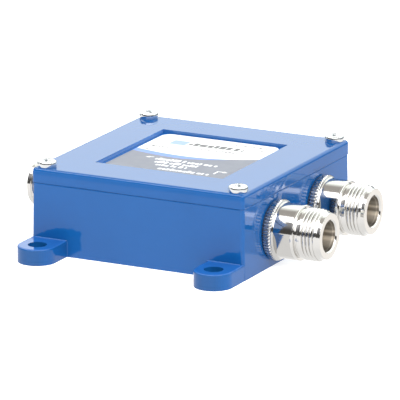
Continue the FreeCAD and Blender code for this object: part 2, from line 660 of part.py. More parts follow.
def contact(label, sgn, ky):
    b = body(label)
    place(b, sgn, ky)
    s1 = D.sock_s - D.bore_d
    s2 = D.sock_s - D.tip_d
    sk = sketch(b, "XY_Plane", name="Profile")
    poly(sk, [(-(D.wall_in + D.tail_len), 0), (-(D.wall_in + D.tail_len), D.tail_rad - 0.15),
              (-(D.wall_in + D.tail_len - 0.15), D.tail_rad), (-D.wall_in, D.tail_rad), (-D.wall_in, D.shank_rad),
              (s1 - 1.0, D.shank_rad), (s1 - 1.0, D.pin_rad), (s2 - 0.3, D.pin_rad), (s2, D.pin_rad - 0.25),
              (s2, D.pin_hole_rad + 0.15), (s2 - 0.15, D.pin_hole_rad),
              (s2 - D.pin_hole_d, D.pin_hole_rad), (s2 - D.pin_hole_d - 0.4, 0)])
    revolve(b, sk, "H_Axis")
    sk = sketch(b, "YZ_Plane", offset=s2, name="Slots")
    w, r = D.slot_w / 2, D.pin_rad + 0.3
    poly(sk, [(r, -w), (r, w), (w, w), (w, r), (-w, r), (-w, w), (-r, w), (-r, -w),
              (-w, -w), (-w, -r), (w, -r), (w, -w)])
    pocket(b, sk, D.slot_d, "SlotsCut")
    return b


def seal(label, sgn, ky):
    b = body(label)
    place(b, sgn, ky)
    sk = sketch(b, "XY_Plane", name="Profile")
    poly(sk, [(0, D.spig_rad), (0, D.ring_rad - 0.1), (0.1, D.ring_rad), (D.ring_t - 0.1, D.ring_rad),
              (D.ring_t, D.ring_rad - 0.1), (D.ring_t, D.spig_rad)])
    revolve(b, sk, "H_Axis")
    return b


for tag, sgn, ky, turn in (("input", -1, 0, 30.0), ("output", 1, 1, 84.9), ("tap", 1, -1, 109.2)):
    shell(tag + "_socket", sgn, ky, turn)
    insulator(tag + "_insulator", sgn, ky)
    contact(tag + "_contact", sgn, ky)
    seal(tag + "_seal", sgn, ky)

# solder beads that hold the three contact tails on their strips
beads = []
for tag, sgn, ky in (("a", -1, 0), ("b", 1, 1), ("c", 1, -1)):
    b = body("solder_" + tag)
    cx = sgn * (D.seat_x - D.wall_in - D.tail_len + D.sold_l / 2 + 0.2)
    cy = ky * D.sock_y
    b.Placement = FreeCAD.Placement(FreeCAD.Vector(cx.n, cy.n, foil_top.n), FreeCAD.Rotation())
    b.setExpression("Placement.Base.x", cx.e)
    if ky:
        b.setExpression("Placement.Base.y", cy.e)
    b.setExpression("Placement.Base.z", foil_top.e)
    sk = sketch(b, "YZ_Plane", offset=-D.sold_l / 2, name="Bead")
    w = D.sold_w / 2
    poly(sk, [(-w, 0), (w, 0), (w * 0.86, D.sold_h * 0.45), (w * 0.66, D.sold_h), (-w * 0.66, D.sold_h),
              (-w * 0.86, D.sold_h * 0.45)])
    p = pad(b, sk, D.sold_l, "BeadPad")
    sk = sketch(b, "YZ_Plane", offset=-D.sold_l, name="Tail")
    circle(sk, 0, D.sock_z - foil_top, D.tail_rad)
    pocket(b, sk, D.sold_l * 2, "TailCut", reverse=True)
    beads.append(b)
g_beads = group("solder_joints", beads)

# ---------------------------------------------------------------- check and write
doc.recompute()
bad = [o.Name for o in doc.Objects if "Invalid" in o.State or "Error" in o.State]
if bad:
    raise RuntimeError("failed objects: " + ", ".join(bad))

inner = set(m.Name for m in lid_screws + board_screws + beads)
nodes = [o for o in doc.Objects
         if (o.TypeId == "PartDesign::Body" and o.Name not in inner) or o.TypeId == "Part::Compound"]
for o in nodes:
    s = o.Shape
    if s.isNull() or not s.isValid():
        raise RuntimeError("bad shape: " + o.Label)
    if not s.Solids:
        raise RuntimeError("no solid: " + o.Label)

os.makedirs("parts", exist_ok=True)
for o in nodes:
    o.Shape.exportStep("parts/" + o.Label + ".step")
    bb = o.Shape.BoundBox
    print("%-18s solids %d vol %9.2f  x %7.2f..%7.2f y %7.2f..%7.2f z %6.2f..%6.2f" % (
        o.Label, len(o.Shape.Solids), o.Shape.Volume, bb.XMin, bb.XMax, bb.YMin, bb.YMax, bb.ZMin, bb.ZMax))
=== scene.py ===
import json
import math
import bmesh
import bpy
import numpy as np
from mathutils import Matrix, Vector

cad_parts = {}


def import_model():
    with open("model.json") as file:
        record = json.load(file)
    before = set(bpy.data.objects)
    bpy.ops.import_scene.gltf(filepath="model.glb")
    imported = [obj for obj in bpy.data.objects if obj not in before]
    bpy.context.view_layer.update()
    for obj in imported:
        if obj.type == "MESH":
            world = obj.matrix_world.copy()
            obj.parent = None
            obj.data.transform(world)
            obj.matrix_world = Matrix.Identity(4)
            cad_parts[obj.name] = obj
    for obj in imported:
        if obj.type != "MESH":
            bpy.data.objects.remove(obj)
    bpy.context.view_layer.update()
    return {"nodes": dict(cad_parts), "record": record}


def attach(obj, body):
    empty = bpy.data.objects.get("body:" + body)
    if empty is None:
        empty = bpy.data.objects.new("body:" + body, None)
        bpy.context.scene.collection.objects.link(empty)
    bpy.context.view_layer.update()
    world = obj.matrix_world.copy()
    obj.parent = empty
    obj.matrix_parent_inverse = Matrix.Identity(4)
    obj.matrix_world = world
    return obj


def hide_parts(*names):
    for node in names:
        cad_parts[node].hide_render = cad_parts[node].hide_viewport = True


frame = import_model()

NODES = frame["nodes"]
MM = 0.001
SC = bpy.context.scene


# ---------------------------------------------------------------- node helpers
class Tree:
    """A material's node tree with short calls for nodes and links."""

    def __init__(self, name):
        self.mat = bpy.data.materials.new(name)
        self.mat.use_nodes = True
        self.t = self.mat.node_tree
        self.t.nodes.clear()
        self.out = self.t.nodes.new("ShaderNodeOutputMaterial")
        self.bsdf = self.t.nodes.new("ShaderNodeBsdfPrincipled")
        self.t.links.new(self.bsdf.outputs[0], self.out.inputs[0])
        self.coord = self.t.nodes.new("ShaderNodeTexCoord")

    def put(self, sock, v):
        if isinstance(v, bpy.types.NodeSocket):
            self.t.links.new(v, sock)
        else:
            sock.default_value = v

    def set(self, **kw):
        for k, v in kw.items():
            self.put(self.bsdf.inputs[k.replace("_", " ")], v)

    def node(self, kind, props=None, **ins):
        n = self.t.nodes.new(kind)
        for k, v in (props or {}).items():
            setattr(n, k, v)
        for k, v in ins.items():
            key = int(k[1:]) if k[0] == "i" and k[1:].isdigit() else k.replace("_", " ")
            self.put(n.inputs[key], v)
        return n

    def math(self, op, a, b=0.0, c=0.0, clamp=False):
        n = self.node("ShaderNodeMath", {"operation": op, "use_clamp": clamp}, i0=a, i1=b, i2=c)
        return n.outputs[0]

    def maprange(self, v, a, b, c, d, smooth=False):
        n = self.node("ShaderNodeMapRange", {"interpolation_type": "SMOOTHSTEP" if smooth else "LINEAR"},
                      i0=v, i1=a, i2=b, i3=c, i4=d)
        return n.outputs[0]

    def noise(self, scale, detail=2.0, rough=0.5, vec=None, dist=0.0):
        n = self.node("ShaderNodeTexNoise", {"noise_dimensions": "3D"},
                      Vector=vec if vec is not None else self.coord.outputs["Object"],
                      Scale=scale, Detail=detail, Roughness=rough, Distortion=dist)
        return n.outputs[0]

    def mix(self, fac, a, b):
        n = self.node("ShaderNodeMix", {"data_type": "RGBA"}, i0=fac, i6=a, i7=b)
        return n.outputs[2]

    def scaled(self, x, y, z):
        n = self.node("ShaderNodeMapping", None, Vector=self.coord.outputs["Object"])
        n.inputs["Scale"].default_value = (x, y, z)
        return n.outputs[0]

    def bump(self, height, strength, distance, normal=None):
        n = self.node("ShaderNodeBump", None, Height=height, Strength=strength, Distance=distance)
        if normal is not None:
            self.put(n.inputs["Normal"], normal)
        return n.outputs[0]


def rgb(r, g, b):
    return (r, g, b, 1.0)


# ---------------------------------------------------------------- materials
def paint():
    t = Tree("blue_paint")
    big = t.noise(60.0, 3.0, 0.55)
    fine = t.noise(420.0, 2.0, 0.5)
    col = t.mix(t.maprange(big, 0.3, 0.7, 0.0, 1.0), rgb(0.0050, 0.078, 0.268), rgb(0.0060, 0.084, 0.286))
    geo = t.node("ShaderNodeNewGeometry")
    nrm = t.node("ShaderNodeSeparateXYZ", None, Vector=geo.outputs["True Normal"])
    nx, nz = t.math("ABSOLUTE", nrm.outputs[0]), t.math("ABSOLUTE", nrm.outputs[2])
    pos = t.node("ShaderNodeSeparateXYZ", None, Vector=t.coord.outputs["Object"])
    ax, ay = t.math("ABSOLUTE", pos.outputs[0]), t.math("ABSOLUTE", pos.outputs[1])
    # painted light: the ears' tops and the sunk field's walls get a lighter blue, the walls lighter still where they
    # face ±X, standing in for the light that falls on them
    ear_top_light = t.math("MULTIPLY", t.math("GREATER_THAN", nz, 0.7),
                 t.math("MULTIPLY", t.math("LESS_THAN", pos.outputs[2], 0.0065), t.math("GREATER_THAN", pos.outputs[2], 0.003)))
    sunk_wall_light = t.math("MULTIPLY", t.math("GREATER_THAN", pos.outputs[2], 0.0249),
                  t.math("MULTIPLY", t.math("LESS_THAN", ax, 0.0221),
                         t.math("MULTIPLY", t.math("LESS_THAN", ay, 0.0228), t.math("LESS_THAN", nz, 0.97))))
    col = t.mix(ear_top_light, col, rgb(0.0165, 0.104, 0.362))
    col = t.mix(sunk_wall_light, col, t.mix(nx, rgb(0.0300, 0.135, 0.385), rgb(0.0950, 0.225, 0.540)))
    # the ears' rims sit in a little less light
    rim = t.math("MULTIPLY", t.math("GREATER_THAN", ay, 0.0373), t.math("LESS_THAN", nz, 0.3))
    col = t.mix(t.math("MULTIPLY", rim, t.maprange(nx, 0.5, 0.95, 1.0, 0.0)), col, rgb(0.0045, 0.066, 0.218))
    t.set(Base_Color=col, Metallic=0.0, IOR=1.5,
          Roughness=t.maprange(fine, 0.3, 0.7, 0.018, 0.034))
    # the upper part of the lid's front and rear bands, and the outer half of their rounding, mirror less
    ny = t.math("ABSOLUTE", nrm.outputs[1])
    band = t.math("MULTIPLY", t.maprange(pos.outputs[2], 0.02435, 0.02495, 0.0, 0.72),
                  t.maprange(pos.outputs[2], 0.02545, 0.02560, 1.0, 0.0))
    roll = t.math("MULTIPLY", t.math("GREATER_THAN", pos.outputs[2], 0.02631), t.math("LESS_THAN", nz, 0.93))
    less = t.math("MULTIPLY", t.maprange(ny, 0.2, 0.5, 0.0, 1.0), t.math("MAXIMUM", band, roll))
    t.set(Specular_IOR_Level=t.math("MULTIPLY", t.maprange(nx, 0.3, 0.9, 0.5, 0.36),
                                    t.maprange(less, 0.0, 1.0, 1.0, 0.3)))
    peel = t.noise(620.0, 2.0, 0.5)
    wave = t.noise(150.0, 1.0, 0.4)
    n1 = t.bump(wave, 0.06, 0.00012)
    flat = t.math("MAXIMUM", t.maprange(nz, 0.0, 0.9, 0.0, 0.90), t.maprange(nx, 0.3, 0.9, 0.0, 0.80))
    t.set(Normal=t.bump(peel, t.math("SUBTRACT", 1.0, flat), 0.000034, n1))
    return t.mat


def metal(name, color, rough, tone=0.04, grain=None, grain_strength=0.1, scale=300.0):
    t = Tree(name)
    a = t.noise(scale, 3.0, 0.55)
    dark = tuple(c * (1 - tone) for c in color)
    col = t.mix(t.maprange(a, 0.3, 0.7, 0.0, 1.0), rgb(*dark), rgb(*color))
    t.set(Base_Color=col, Metallic=1.0, Roughness=t.maprange(a, 0.25, 0.75, rough * 0.8, rough * 1.3))
    if grain is not None:
        g = t.noise(1.0, 2.0, 0.6, vec=t.scaled(*grain))
        t.set(Normal=t.bump(g, grain_strength, 0.00002))
    return t.mat


def plastic(name, a, b, rough, scale=200.0, bump=0.08, metallic=0.0):
    t = Tree(name)
    n = t.noise(scale, 4.0, 0.6)
    t.set(Base_Color=t.mix(t.maprange(n, 0.3, 0.7, 0.0, 1.0), rgb(*a), rgb(*b)), Metallic=metallic,
          Roughness=t.maprange(n, 0.3, 0.7, rough * 0.85, min(1.0, rough * 1.15)),
          Normal=t.bump(t.noise(scale * 8, 2.0, 0.5), bump, 0.00003))
    return t.mat


M_PAINT = paint()
M_NICKEL = metal("nickel_plate", (0.745, 0.732, 0.710), 0.07, 0.03, (9000.0, 300.0, 300.0), 0.12)


def darken_barrels_painted_shade():
    """Painted shade: the plating nearer the wall than |x| = 44.9 mm (barrels with their flats, collars, knurls) is
    darkened to 0.82, standing in for the shaded floor it mirrors.
    """
    nt = M_NICKEL.node_tree
    b = nt.nodes["Principled BSDF"]
    link = b.inputs["Base Color"].links[0]
    src = link.from_socket
    co = nt.nodes.new("ShaderNodeTexCoord")
    sx = nt.nodes.new("ShaderNodeSeparateXYZ")
    ab = nt.nodes.new("ShaderNodeMath")
    ab.operation = "ABSOLUTE"
    nt.links.new(co.outputs["Object"], sx.inputs[0])
    nt.links.new(sx.outputs[0], ab.inputs[0])
    r = nt.nodes.new("ShaderNodeMapRange")
    for i, v in ((1, 0.04488), (2, 0.04496), (3, 0.82), (4, 1.0)):
        r.inputs[i].default_value = v
    nt.links.new(ab.outputs[0], r.inputs[0])
    mx = nt.nodes.new("ShaderNodeVectorMath")
    mx.operation = "SCALE"
    nt.links.new(src, mx.inputs[0])
    nt.links.new(r.outputs[0], mx.inputs["Scale"])
    nt.links.new(mx.outputs[0], b.inputs["Base Color"])


darken_barrels_painted_shade()


def bore():
    t = Tree("nickel_bore_painted_bands")
    pos = t.node("ShaderNodeSeparateXYZ", None, Vector=t.coord.outputs["Object"])
    h = t.maprange(pos.outputs[2], 0.011 - 0.00435, 0.011 + 0.00435, 0.0, 1.0)
    r = t.node("ShaderNodeValToRGB", None, i0=h)
    e = r.color_ramp.elements
    # painted reflections: light and dark bands up the bore's height, standing in for the reflections inside it
    rows = ((0.0, 0.30), (0.034, 0.50), (0.086, 0.75), (0.138, 0.92), (0.20, 1.10), (0.26, 1.62), (0.33, 1.45),
            (0.39, 0.52), (0.46, 0.70), (0.53, 1.55), (0.603, 0.74), (0.684, 0.86), (0.764, 0.60), (0.856, 0.48),
            (1.0, 0.42))
    for i, (p, k) in enumerate(rows):
        el = e[0] if i == 0 else (e[len(e) - 1] if i == len(rows) - 1 else e.new(p))
        el.position = p
        k = (k / 1.62) ** 1.15
        el.color = (0.68 * k, 0.60 * k, 0.50 * k, 1.0)
    a = t.noise(300.0, 3.0, 0.55)
    t.set(Base_Color=r.outputs[0], Metallic=0.45, Roughness=t.maprange(a, 0.25, 0.75, 0.30, 0.40))
    return t.mat


M_BORE_PAINTED_BANDS = bore()
# painted shade: a darker, rougher nickel for the knurl's groove flanks, standing in for the shade in the grooves
M_KNURL_SHADE = metal("nickel_knurl_shade", (0.50, 0.53, 0.58), 0.36, 0.15)
# painted shade: a darker, rougher nickel in the thread's roots, standing in for the shade in the grooves
M_THREAD_ROOT_SHADE = metal("nickel_root_shade", (0.64, 0.625, 0.60), 0.24, 0.10)
M_ZINC = metal("zinc_plate", (0.80, 0.82, 0.83), 0.13, 0.05, (1500.0, 1500.0, 1500.0), 0.10)
# painted shade: a darker, rougher zinc inside the screws' cross recesses, standing in for the shade in them
M_RECESS_SHADE = metal("zinc_recess_shade", (0.42, 0.44, 0.46), 0.30, 0.10)
M_GILT = metal("contact_brass", (0.86, 0.63, 0.26), 0.14, 0.05)
M_COPPER = metal("copper_foil", (0.84, 0.42, 0.25), 0.25, 0.12)
M_SOLDER = metal("solder", (0.62, 0.63, 0.65), 0.30, 0.15, (900.0, 900.0, 900.0), 0.25)
M_PTFE = plastic("white_ptfe", (0.80, 0.80, 0.77), (0.86, 0.86, 0.83), 0.45)
M_LAMINATE = plastic("laminate", (0.015, 0.11, 0.035), (0.02, 0.15, 0.05), 0.35)
M_CHIP = plastic("chip_ceramic", (0.012, 0.012, 0.013), (0.03, 0.03, 0.032), 0.30)
# the seal is rubber; its dark navy tint is painted shade, standing in for the shaded gap between the knurl and the wall
M_SEAL_RUBBER_SHADE = plastic("seal_rubber", (0.020, 0.032, 0.060), (0.032, 0.048, 0.085), 0.45, 900.0, 0.2)
M_GASKET_AND_SEAM_SHADE = plastic("gasket_rubber", (0.010, 0.011, 0.014), (0.020, 0.021, 0.024), 0.65, 900.0, 0.2)
M_FILM = plastic("label_film", (0.78, 0.79, 0.80), (0.82, 0.83, 0.84), 0.30)

BY_SLOT = {"blue_paint": M_PAINT, "nickel_plate": M_NICKEL, "zinc_plate": M_ZINC, "contact_brass": M_GILT,
           "copper_foil": M_COPPER, "solder": M_SOLDER, "white_ptfe": M_PTFE, "laminate": M_LAMINATE,
           "chip_ceramic": M_CHIP, "seal_rubber": M_SEAL_RUBBER_SHADE, "gasket_rubber": M_GASKET_AND_SEAM_SHADE, "label_film": M_FILM}
SLOT_OF = {s["node"]: s["material_slot"] for s in frame["record"]["subparts"]}
for name, o in NODES.items():
    o.data.materials.clear()
    o.data.materials.append(BY_SLOT[SLOT_OF[name]])


# ---------------------------------------------------------------- mesh helpers
def add_object(name, verts, faces, mats, smooth_deg=32.0, body="root"):
    me = bpy.data.meshes.new(name)
    me.from_pydata([tuple(v) for v in verts], [], [tuple(f) for f in faces])
    me.validate()
    for m in mats:
        me.materials.append(m)
    me.shade_smooth()
    me.set_sharp_from_angle(angle=math.radians(smooth_deg))
    o = bpy.data.objects.new(name, me)
    SC.collection.objects.link(o)
    return o


def lathe_grid(rings, n):
    """Closed tube of rings (each an (n, 3) array), joined end to end into a torus-like closed shell."""
    verts = np.concatenate(rings)
    m = len(rings)
    i = np.arange(m)[:, None]
    j = np.arange(n)[None, :]
    a = i * n + j
    b = i * n + (j + 1) % n
    c = ((i + 1) % m) * n + (j + 1) % n
    d = ((i + 1) % m) * n + j
    faces = np.stack([a, b, c, d], axis=-1).reshape(-1, 4)
    return verts, faces


def soften(profile, r, steps=3):
    """Rounds each corner of an open profile of (s, r) points by a small radius."""
    out = [profile[0]]
    for k in range(1, len(profile) - 1):
        p0, p1, p2 = (np.array(profile[k + q][:2], float) for q in (-1, 0, 1))
        u, v = p0 - p1, p2 - p1
        lu, lv = np.linalg.norm(u), np.linalg.norm(v)
        cosang = float(np.dot(u, v) / (lu * lv))
        if cosang < -0.995:
            out.append(tuple(p1))
            continue
        c = min(r, 0.4 * lu, 0.4 * lv)
        a, b = p1 + u / lu * c, p1 + v / lv * c
        for q in range(steps + 1):
            t = q / steps
            out.append(tuple((1 - t) ** 2 * a + 2 * t * (1 - t) * p1 + t * t * b))
    out.append(profile[-1])
    return out


# ---------------------------------------------------------------- sockets
PITCH = 1.15
PHASE = 0.07
TEETH = 56
N_AROUND = TEETH * 8


def socket_mesh(sgn, y0, turn_deg, clock):
    """The turned shell: spigot, straight-knurled ring, collar, barrel with two flats, undercut,
    right-handed thread, nose, mouth and bore.  s runs outward from the wall."""
    th = np.arange(N_AROUND) * 2 * math.pi / N_AROUND
    zero = np.zeros_like(th)
    rings = []

    def ring(s, r):
        rings.append((zero + s, zero + r))

    # inside the wall and under the seal
    for s, r in soften([(-3.4, 4.0), (-3.4, 6.3), (-3.2, 6.5), (0.4, 6.5), (0.4, 8.55)], 0.06):
        ring(s, r)
    # straight knurl: V grooves between flat-topped teeth, cut through a chamfered front edge
    ph = (th * TEETH / (2 * math.pi) + clock) % 1.0
    tri = np.abs(ph - 0.5) * 2.0                      # 0 in the groove, 1 on the tooth
    groove = np.clip((tri - 0.12) / 0.62, 0.0, 1.0)
    for s, top, cut in ((0.43, 8.80, 0.10), (0.50, 8.98, 0.24), (0.60, 9.16, 0.38), (0.70, 9.28, 0.48),
                        (0.82, 9.33, 0.52), (1.3, 9.33, 0.52), (1.9, 9.33, 0.52), (2.25, 9.33, 0.52),
                        (2.36, 9.31, 0.50), (2.44, 9.25, 0.45), (2.56, 9.13, 0.33), (2.66, 9.01, 0.21),
                        (2.76, 8.89, 0.09), (2.82, 8.81, 0.02)):
        rings.append((zero + s, top - cut * (1 - groove)))
    # collar, then the barrel with its two flats
    for s, r in soften([(2.86, 8.78), (3.10, 8.78), (3.24, 8.70), (3.34, 8.60), (3.50, 8.50), (3.60, 8.45)], 0.03, 2):
        ring(s, r)
    c = np.abs(np.cos(th - math.radians(turn_deg)))
    flat = 7.5 / np.maximum(c, 1e-3)
    for s, k in ((3.62, 0.0), (3.66, 0.6), (3.70, 1.0), (5.0, 1.0), (7.0, 1.0), (9.0, 1.0), (9.12, 1.0),
                 (9.17, 0.6), (9.21, 0.0)):
        d = 8.45 - np.minimum(8.45, flat)
        rings.append((zero + s, 8.45 - d * k))
    for s, r in soften([(9.23, 8.45), (9.85, 8.45), (10.05, 8.25), (10.05, 7.45), (10.12, 7.32), (10.3, 7.29),
                        (10.9, 7.29)], 0.05, 2):
        ring(s, r)
    # thread: a plain land first, rounded crests, and grooves that run out into the nose
    last = 17.40
    n_s = int(round((last - 10.95) / (PITCH / 17)))
    for q in range(n_s + 1):
        s = 10.95 + (last - 10.95) * q / n_s
        turns = (s - PHASE) / PITCH - th / (2 * math.pi)
        whole = np.floor(turns)
        t = np.abs(turns - whole - 0.5) * 2.0         # 0 at the root, 1 at the crest
        depth = (1.0 - np.clip((t - 0.04) / 0.96, 0.0, 1.0)) ** 1.7
        run = whole + th / (2 * math.pi)              # place along the helix, in turns
        keep = np.interp(run, [9.80, 10.00, 13.46, 13.56, 13.86, 14.00, 14.34, 14.46], [0.0, 1.0, 1.0, 0.30, 0.30, 1.0, 1.0, 0.0])
        top = 7.45 + 0.49 * np.clip((s - 10.95) / 0.30, 0.0, 1.0)
        top = top - 0.86 * np.clip((s - 16.05) / 1.18, 0.0, 1.0)
        rings.append((zero + s, np.maximum(top - 0.54 * depth * keep, np.minimum(top, 7.30))))
    for s, r in soften([(17.42, 7.08), (18.30, 7.08), (18.37, 7.06), (18.42, 7.01), (18.45, 6.94),
                        (18.45, 5.15), (18.02, 4.72), (17.30, 4.72), (17.22, 4.36), (9.25, 4.35), (9.25, 4.0), (3.0, 4.0)], 0.04):
        ring(s, r)
    pts = []
    x0 = 35.7
    for s, r in rings:
        x = (x0 + s)
        y = r * np.cos(th)
        z = r * np.sin(th)
        if sgn < 0:                                   # turned half a circle about Z, so that the thread stays right-handed
            x, y = -x, -y
        pts.append(np.stack([x, y + y0, z + 11.0], axis=1) * MM)
    verts, faces = lathe_grid(pts, N_AROUND)
    return verts, faces, [float(np.mean(r)) for s, r in rings], [float(np.mean(s)) for s, r in rings], groove


for tag, sgn, y0, turn, clock in (("input", -1, 0.0, 120.0, 0.3), ("output", 1, 15.6, 174.9, 0.0), ("tap", 1, -15.6, 199.2, 0.6)):
    v, f, rad, pos, groove = socket_mesh(sgn, y0, turn, clock)
    o = add_object(tag + "_shell", v, f, [M_NICKEL, M_BORE_PAINTED_BANDS, M_KNURL_SHADE, M_THREAD_ROOT_SHADE], 20.0)
    # faces inside the mouth and bore take the bore material with its painted reflection bands
    deep = [i for i in range(len(rad) - 1) if max(rad[i], rad[i + 1]) < 4.725 and -3.0 < pos[i] < 18.1]
    idx = np.zeros(len(f), dtype=np.int32)
    for i in deep:
        idx[i * N_AROUND:(i + 1) * N_AROUND] = 1
    # the knurl's groove faces take the painted-shade nickel
    knurl_shade_faces = (groove + np.roll(groove, -1)) * 0.5 < 0.40
    for i in range(len(rad) - 1):
        if 0.44 < pos[i] < 2.5 and rad[i] > 8.2:
            idx[i * N_AROUND:(i + 1) * N_AROUND] = np.where(knurl_shade_faces, 2, 0)
    # the thread's root faces take the painted-shade nickel
    th_mid = (np.arange(N_AROUND) + 0.5) * 2 * math.pi / N_AROUND
    for i in range(len(rad) - 1):
        if 11.2 < pos[i] < 17.2 and rad[i] > 7.25:
            mid = 0.5 * (pos[i] + pos[i + 1])
            turns = (mid - PHASE) / PITCH - th_mid / (2 * math.pi)
            run = np.floor(turns) + th_mid / (2 * math.pi)
            p = turns % 1.0
            idx[i * N_AROUND:(i + 1) * N_AROUND] = np.where((p > 0.42) & (p < 0.66) & (run > 9.9) & (run < 14.4), 3, 0)
    o.data.polygons.foreach_set("material_index", idx)
    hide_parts(tag + "_socket")
    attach(o, "root")


# ---------------------------------------------------------------- lid screws
def cross_depth(x, y):
    """Depth of a tapered cross recess at (x, y) on a head's top, in mm."""
    out = np.zeros_like(x)
    for u, v in ((x, y), (y, x)):
        u, v = np.abs(u), np.abs(v)
        reach = np.clip((1.78 - u) / 0.42, 0.0, 1.0)      # sloped end of the arm
        side = np.clip((0.47 - v) / 0.16, 0.0, 1.0)       # steep flanks
        floor_ = 0.55 + 0.50 * np.clip(1.0 - u / 1.2, 0.0, 1.0)
        out = np.maximum(out, np.minimum(reach, side) * floor_)
    core = np.clip((0.92 - (np.abs(x) + np.abs(y))) / 0.25, 0.0, 1.0)
    return np.maximum(out, core * 1.0)


def screw_mesh(cx, cy, z0, turn):
    """Pan head with a softly rounded rim, a cross recess and a threaded shank."""
    n = 112
    th = np.arange(n) * 2 * math.pi / n
    prof = []
    for q in range(44):                                   # crown, from the centre out
        r = 0.02 + (2.15 - 0.02) * q / 43
        prof.append((r, 2.02 - 0.120 * (r / 2.15) ** 2))
    for q in range(1, 15):                                # rim roll, then a short cone down to the widest place
        a = math.radians(78.0 * q / 14)
        prof.append((2.15 + 0.74 * math.sin(a) / 0.97815, 1.90 - 0.36 * (1 - math.cos(a)) / 0.79209))
    for r, z in ((2.905, 1.47), (2.945, 1.29), (2.972, 1.16), (2.98, 1.05), (2.97, 0.80), (2.90, 0.50), (2.84, 0.22), (2.80, 0.08), (2.74, 0.01), (2.66, 0.0),
                 (1.9, 0.0), (1.50, 0.0), (1.48, -0.1)):
        prof.append((r, z))
    z = -0.3
    while z > -12.3:
        prof += [(1.48, z), (1.48, z - 0.10), (1.22, z - 0.25), (1.22, z - 0.31), (1.48, z - 0.46)]
        z -= 0.5
    prof += [(1.35, -12.6), (1.0, -12.95), (0.6, -13.0), (0.02, -13.0)]
    verts, faces = [], []
    ct, st = math.cos(turn), math.sin(turn)
    for r, zz in prof:
        x, y = r * np.cos(th), r * np.sin(th)
        zc = np.full(n, zz)
        if zz > 1.5 and r < 2.16:
            zc = zc - cross_depth(x, y)
        verts.append(np.stack([cx + x * ct - y * st, cy + x * st + y * ct, z0 + zc], axis=1) * MM)
    m = len(prof)
    for i in range(m - 1):
        for j in range(n):
            faces.append((i * n + j, (i + 1) * n + j, (i + 1) * n + (j + 1) % n, i * n + (j + 1) % n))
    faces.append(tuple(range(n)))
    faces.append(tuple(range((m - 1) * n, m * n))[::-1])
    # faces sunk in the cross recess take the painted-shade zinc
    recess_shade_mark = []
    for i in range(m - 1):
        r = 0.5 * (prof[i][0] + prof[i + 1][0])
        a = th + math.pi / n
        low = (cross_depth(r * np.cos(a), r * np.sin(a)) > 0.12) & (r < 2.1) & (prof[i][1] > 1.5)
        recess_shade_mark.append(low.astype(np.int32))
    recess_shade_mark.append(np.array([1, 0], dtype=np.int32))
    return np.concatenate(verts), faces, np.concatenate(recess_shade_mark)


sv, sf, sm, base = [], [], [], 0
for cx, cy, turn in ((32.35, 33.2, 0.35), (-32.35, 33.2, 1.0), (-32.35, -33.2, 0.20), (32.35, -33.2, 0.72)):
    v, f, mk = screw_mesh(cx, cy, 26.54, turn)
    sv.append(v)
    sm.append(mk)
    sf += [tuple(i + base for i in q) for q in f]
    base += len(v)
o = add_object("pan_screws", np.concatenate(sv), sf, [M_ZINC, M_RECESS_SHADE], 35.0)
o.data.polygons.foreach_set("material_index", np.concatenate(sm))
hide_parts("lid_screws")
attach(o, "root")


# ---------------------------------------------------------------- dark strip in the lid's seam: partly the gasket's edge, partly painted shade deepening the seam's shadow
def rounded(px, py, r, n=10):
    out = []
    for k, (sx, sy) in enumerate(((1, 1), (-1, 1), (-1, -1), (1, -1))):
        for q in range(n + 1):
            a = math.radians(90.0 * k + 90.0 * q / n)
            out.append((sx * (px - r) + r * math.cos(a), sy * (py - r) + r * math.sin(a)))
    return out


loops = []
for (px, py, r), z in (((34.6, 35.4, 0.9), 21.90), ((35.56, 36.40, 1.0), 21.90), ((35.60, 36.44, 1.0), 21.95),
                       ((35.56, 36.40, 1.0), 22.00), ((34.6, 35.4, 0.9), 22.00)):
    loops.append([(x * MM, y * MM, z * MM) for x, y in rounded(px, py, r)])
k = len(loops[0])
sf = []
for i in range(5):
    for j in range(k):
        sf.append((i * k + j, i * k + (j + 1) % k, ((i + 1) % 5) * k + (j + 1) % k, ((i + 1) % 5) * k + j))
o = add_object("gasket_edge_seam_shade", [p for lp in loops for p in lp], sf, [M_GASKET_AND_SEAM_SHADE], 35.0)
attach(o, "root")

# ---------------------------------------------------------------- small casting coves at the ears' roots
def cove(path, a_dir, b_dir, r):
    """Concave quarter-round strip along a path; a_dir and b_dir point along the two faces it joins."""
    verts, faces = [], []
    a, b = Vector(a_dir), Vector(b_dir)
    n = 8
    for p in path:
        p = Vector(p)
        c = p + a * r + b * r
        ring_ = [p - a * 0.25 - b * 0.25]
        for q in range(n + 1):
            t = math.radians(90.0 * q / n)
            ring_.append(c - a * r * math.sin(t) - b * r * math.cos(t))
        verts += [tuple(v * MM) for v in ring_]
    k = n + 2
    for i in range(len(path) - 1):
        for j in range(k):
            faces.append((i * k + j, i * k + (j + 1) % k, (i + 1) * k + (j + 1) % k, (i + 1) * k + j))
    faces.append(tuple(range(k))[::-1])
    faces.append(tuple(range((len(path) - 1) * k, len(path) * k)))
    return verts, faces


cv, cf = [], []
for sy in (1, -1):
    for sx in (1, -1):
        for path, a, b, r in (
                ([(sx * 23.85, sy * 36.78, 5.05), (sx * 29.0, sy * 36.78, 5.05), (sx * 34.9, sy * 36.78, 5.05)],
                 (0, sy, 0), (0, 0, 1), 0.26),
                ([(sx * 23.80, sy * 36.84, 0.02), (sx * 23.80, sy * 36.81, 2.5), (sx * 23.80, sy * 36.78, 4.9)],
                 (0, sy, 0), (-sx, 0, 0), 0.26)):
            v, f = cove(path, a, b, r)
            k = len(cv)
            cv += v
            cf += [tuple(i + k for i in q) for q in f]
o = add_object("ear_coves", cv, cf, [M_PAINT], 40.0)
bm = bmesh.new()
bm.from_mesh(o.data)
bmesh.ops.recalc_face_normals(bm, faces=bm.faces)
bm.to_mesh(o.data)
bm.free()
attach(o, "root")

